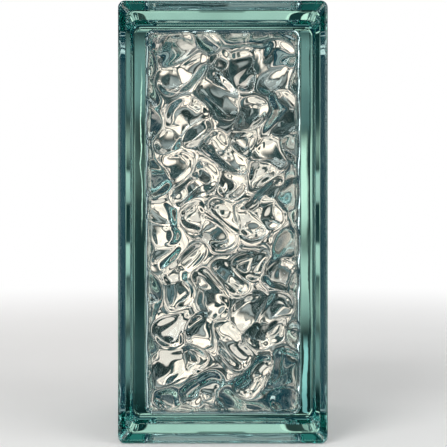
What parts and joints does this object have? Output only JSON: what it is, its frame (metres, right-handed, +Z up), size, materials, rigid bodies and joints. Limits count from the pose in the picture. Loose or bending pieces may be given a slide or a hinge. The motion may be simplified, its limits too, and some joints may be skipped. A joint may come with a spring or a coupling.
{
  "type": "glass block",
  "caption": "Hollow pressed glass block of half size, with an ice relief inside its faces, lips round both faces and a fused seam.",
  "frame": {"origin": "middle of the block's base as it stands on a short side", "axes": "+X across the width, +Y through the depth from the front face to the back face, +Z up along the height"},
  "size_m": [0.09, 0.08, 0.19],
  "materials": {
    "glass": "pressed green-tinged glass, fire-polished smooth, with an ice relief inside both faces"
  },
  "bodies": {
    "root": {"front_half": "glass", "back_half": "glass"}
  },
  "joints": []
}
